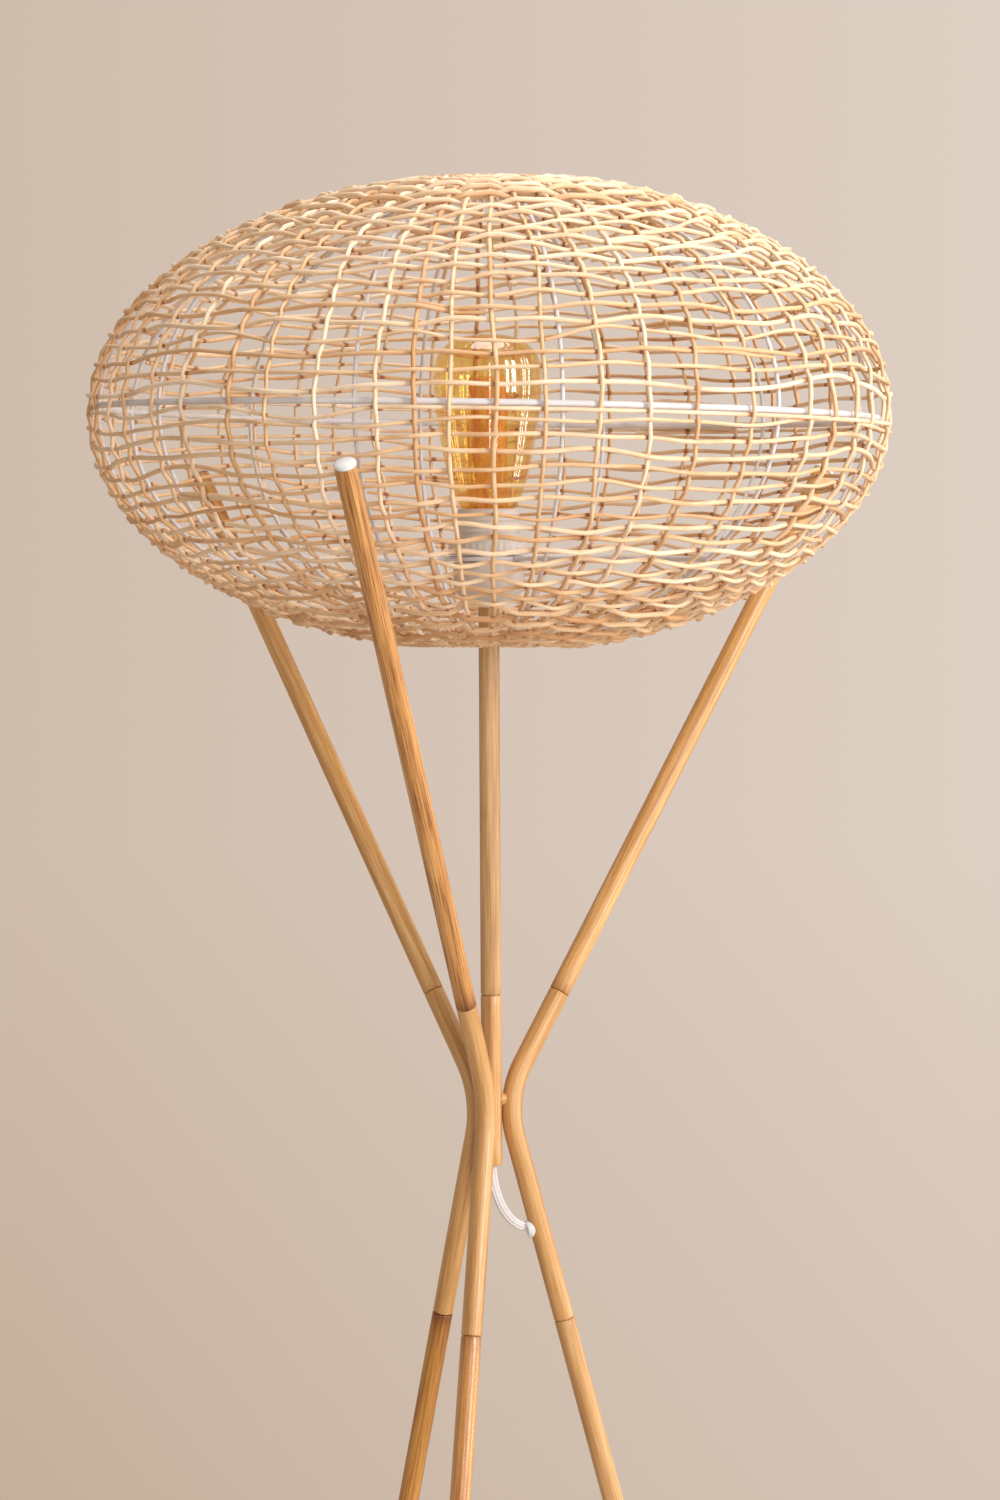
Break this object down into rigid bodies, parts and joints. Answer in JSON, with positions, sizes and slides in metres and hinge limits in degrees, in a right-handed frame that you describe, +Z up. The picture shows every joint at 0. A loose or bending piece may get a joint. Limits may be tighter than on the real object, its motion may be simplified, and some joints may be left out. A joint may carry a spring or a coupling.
{
  "type": "floor lamp",
  "caption": "Floor lamp with a round woven rattan shade on a post, held by a tripod of bent wooden rods crossing at the waist, with an amber screw-in bulb.",
  "frame": {"origin": "centre of the bottom of the bounding box: on the floor, below the middle of the shade", "axes": "+Z up along the centre post; +Y away from the viewer of the picture, +X to the viewer's right"},
  "size_m": [0.5074, 0.5034, 1.5],
  "materials": {
    "honey_wood": "satin varnish over straight grain",
    "pale_wood": "satin varnish, peeled bend",
    "rattan": "natural woven rattan strands",
    "white_wire": "white coated wire",
    "white_plastic": "white moulded plastic",
    "white_flex": "white twin flex",
    "foot_rubber": "white soft plastic",
    "steel": "plain",
    "brass": "plain",
    "nickel": "bright plated",
    "ceramic": "glazed white insert",
    "dark_insulator": "black insulator",
    "amber_glass": "clear amber, fluted",
    "clear_glass": "clear",
    "filament": "yellow coated sticks"
  },
  "bodies": {
    "stand": {"upper_arm_back": "honey_wood", "arm_cap_back": "white_plastic", "waist_bend_back": "pale_wood", "arm_stud_back": "steel", "waist_spacer_back": "pale_wood", "lower_leg_back": "honey_wood", "foot_back": "foot_rubber", "upper_arm_right": "honey_wood", "arm_cap_right": "white_plastic", "waist_bend_right": "pale_wood", "arm_stud_right": "steel", "waist_spacer_right": "pale_wood", "lower_leg_right": "honey_wood", "foot_right": "foot_rubber", "upper_arm_front": "honey_wood", "arm_cap_front": "white_plastic", "waist_bend_front": "pale_wood", "arm_stud_front": "steel", "waist_spacer_front": "pale_wood", "lower_leg_front": "honey_wood", "foot_front": "foot_rubber", "leg_stud_back": "steel", "leg_stud_front": "steel", "leg_nipple_right": "steel", "flex_grommet": "white_plastic", "strain_relief": "white_plastic", "lamp_flex": "white_flex", "lead_to_switch": "white_flex", "lead_to_coil": "white_flex", "lead_coil": "white_flex", "lead_to_plug": "white_flex", "coil_tie": "white_flex", "switch_base": "white_plastic", "switch_cover": "white_plastic", "switch_pin": "steel", "plug_body": "white_plastic", "plug_pin_1": "nickel", "plug_pin_2": "nickel", "post_lower": "pale_wood", "post_upper": "honey_wood", "post_nipple": "steel", "holder_cup": "white_plastic", "holder_skirt": "white_plastic", "holder_insert": "ceramic", "holder_contact": "brass", "holder_screw_shell": "brass", "holder_nipple": "steel", "woven_shade": "rattan", "shade_frame": "white_wire", "shade_spider": "white_wire"},
    "bulb": {"bulb_glass": "amber_glass", "bulb_cap": "nickel", "bulb_insulator": "dark_insulator", "bulb_contact": "brass", "bulb_stem": "clear_glass", "bulb_filament": "filament"},
    "shade_ring": {"shade_retaining_ring": "white_plastic"},
    "rocker": {"switch_rocker": "white_plastic"}
  },
  "joints": [
    {"name": "bulb_turn", "type": "hinge", "parent": "stand", "child": "bulb", "pos_m": [0, 0, 1.2725], "axis": [0, 0, 1], "range_deg": [0, 900]},
    {"name": "shade_ring_turn", "type": "hinge", "parent": "stand", "child": "shade_ring", "pos_m": [0, 0, 1.2745], "axis": [0, 0, 1], "range_deg": [0, 1080]},
    {"name": "rocker_tilt", "type": "hinge", "parent": "stand", "child": "rocker", "pos_m": [0.1151, 0.03255, 0.0165], "axis": [-0.23, 0.9732, 0], "range_deg": [0, 16]}
  ]
}
